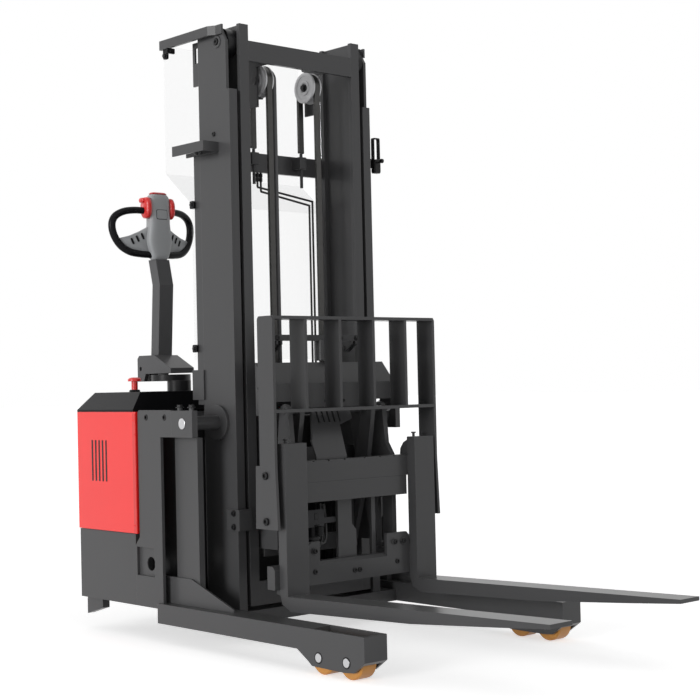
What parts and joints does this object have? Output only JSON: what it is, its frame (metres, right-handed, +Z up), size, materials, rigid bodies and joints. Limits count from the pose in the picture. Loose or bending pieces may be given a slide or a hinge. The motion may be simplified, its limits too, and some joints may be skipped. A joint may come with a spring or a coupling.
{
  "type": "electric pallet stacker",
  "caption": "Walk-behind electric pallet stacker with straddle legs, two-stage mast, reach scissor, forks, load backrest and upright tiller, parked.",
  "frame": {"origin": "middle of the footprint on the floor, on the centre line", "axes": "+Z up, -Y the way the forks point, +X the left side as the walking operator sees it"},
  "size_m": [1.023, 2.22, 2.203],
  "materials": {
    "frame_paint": "satin",
    "mast_paint": "satin",
    "fork_paint": "satin",
    "bright_steel": "machined",
    "battery_case": "satin",
    "red_cover": "gloss",
    "dark_panel": "satin",
    "black_plastic": "matte",
    "red_button": "gloss",
    "clear_sheet": "clear",
    "hose_rubber": "matte",
    "black_metal": "satin",
    "cast_housing": "matte",
    "drive_tyre": "matte",
    "grey_plastic": "satin",
    "red_plastic": "gloss",
    "zinc_steel": "zinc plated",
    "castor_tyre": "matte",
    "load_roller": "satin",
    "pulley_steel": "satin",
    "chain_steel": "oiled",
    "chrome_rod": "polished"
  },
  "bodies": {
    "chassis": {"straddle_leg_right": "frame_paint", "straddle_leg_left": "frame_paint", "leg_braces": "frame_paint", "frame_plates": "frame_paint", "mast_clamps": "frame_paint", "outer_rails": "mast_paint", "load_axles": "bright_steel", "mast_shafts": "mast_paint", "chassis_box": "frame_paint", "battery_tray": "frame_paint", "battery": "battery_case", "mast_base": "frame_paint", "side_covers": "red_cover", "body_walls": "dark_panel", "top_cowl": "black_plastic", "emergency_stop": "red_button", "outer_crossbar": "mast_paint", "outer_guide_rollers": "black_metal", "lift_barrels": "mast_paint", "mast_brackets": "mast_paint", "height_switch": "black_plastic", "clear_screen": "clear_sheet", "screen_bars": "mast_paint", "hydraulic_pipes": "hose_rubber"},
    "steering": {"steering_post": "black_metal", "drive_yoke": "cast_housing"},
    "drive": {"drive_wheel": "drive_tyre"},
    "tiller": {"tiller_arm": "dark_panel", "tiller_head": "grey_plastic", "tiller_loops": "black_plastic", "tiller_controls": "red_plastic"},
    "castor": {"castor_fork": "zinc_steel"},
    "castor_roll": {"castor_wheel": "castor_tyre"},
    "roller_rear_right": {"load_roller_rear_right": "load_roller"},
    "roller_front_right": {"load_roller_front_right": "load_roller"},
    "roller_rear_left": {"load_roller_rear_left": "load_roller"},
    "roller_front_left": {"load_roller_front_left": "load_roller"},
    "inner_mast": {"inner_rails": "mast_paint", "inner_crossbars": "mast_paint", "chain_pulleys": "pulley_steel", "lift_chains": "chain_steel", "lift_rods": "chrome_rod"},
    "carriage": {"carriage_frame": "mast_paint", "carriage_hood": "mast_paint"},
    "outer_arms": {"reach_arms_outer": "mast_paint"},
    "inner_arms": {"reach_arms_inner": "mast_paint"},
    "fork_carriage": {"fork_frame": "mast_paint", "reach_valve": "cast_housing", "centre_plates": "mast_paint", "load_backrest": "mast_paint"},
    "right_fork": {"fork_right": "fork_paint"},
    "left_fork": {"fork_left": "fork_paint"}
  },
  "joints": [
    {"name": "steer", "type": "hinge", "parent": "chassis", "child": "steering", "pos_m": [-0.17, 0.901, 0.376], "axis": [0, 0, 1], "range_deg": [-90, 90]},
    {"name": "drive_spin", "type": "hinge", "parent": "steering", "child": "drive", "pos_m": [-0.17, 0.901, 0.115], "axis": [1, 0, 0], "continuous": true},
    {"name": "tiller_pitch", "type": "hinge", "parent": "steering", "child": "tiller", "pos_m": [-0.17, 1.081, 0.985], "axis": [-1, 0, 0], "range_deg": [0, 80]},
    {"name": "castor_swivel", "type": "hinge", "parent": "chassis", "child": "castor", "pos_m": [0.31, 0.913, 0.216], "axis": [0, 0, 1], "continuous": true},
    {"name": "castor_spin", "type": "hinge", "parent": "castor", "child": "castor_roll", "pos_m": [0.31, 0.951, 0.075], "axis": [1, 0, 0], "continuous": true},
    {"name": "roller_spin_rear_right", "type": "hinge", "parent": "chassis", "child": "roller_rear_right", "pos_m": [-0.4625, -0.293, 0.055], "axis": [1, 0, 0], "continuous": true},
    {"name": "roller_spin_front_right", "type": "hinge", "parent": "chassis", "child": "roller_front_right", "pos_m": [-0.4625, -0.424, 0.055], "axis": [1, 0, 0], "continuous": true},
    {"name": "roller_spin_rear_left", "type": "hinge", "parent": "chassis", "child": "roller_rear_left", "pos_m": [0.4625, -0.293, 0.055], "axis": [1, 0, 0], "continuous": true},
    {"name": "roller_spin_front_left", "type": "hinge", "parent": "chassis", "child": "roller_front_left", "pos_m": [0.4625, -0.424, 0.055], "axis": [1, 0, 0], "continuous": true},
    {"name": "mast_lift", "type": "slide", "parent": "chassis", "child": "inner_mast", "axis": [0, 0, 1], "range_m": [0, 1.1]},
    {"name": "carriage_lift", "type": "slide", "parent": "inner_mast", "child": "carriage", "axis": [0, 0, 1], "range_m": [0, 1.1]},
    {"name": "reach", "type": "hinge", "parent": "carriage", "child": "outer_arms", "pos_m": [0, 0.293, 0.818], "axis": [-1, 0, 0], "range_deg": [0, 47]},
    {"name": "arm_cross", "type": "hinge", "parent": "outer_arms", "child": "inner_arms", "pos_m": [0, 0.24, 0.568], "axis": [-1, 0, 0], "range_deg": [-94, 0]},
    {"name": "fork_carriage_hinge", "type": "hinge", "parent": "inner_arms", "child": "fork_carriage", "pos_m": [0, 0.187, 0.818], "axis": [-1, 0, 0], "range_deg": [0, 47]},
    {"name": "fork_shift_right", "type": "slide", "parent": "fork_carriage", "child": "right_fork", "axis": [-1, 0, 0], "range_m": [-0.015, 0.02]},
    {"name": "fork_shift_left", "type": "slide", "parent": "fork_carriage", "child": "left_fork", "axis": [1, 0, 0], "range_m": [-0.015, 0.02]}
  ],
  "couplings": [
    {"joint": "carriage_lift", "follows": "mast_lift", "ratio": 1},
    {"joint": "arm_cross", "follows": "reach", "ratio": -2},
    {"joint": "fork_carriage_hinge", "follows": "reach", "ratio": 1}
  ]
}
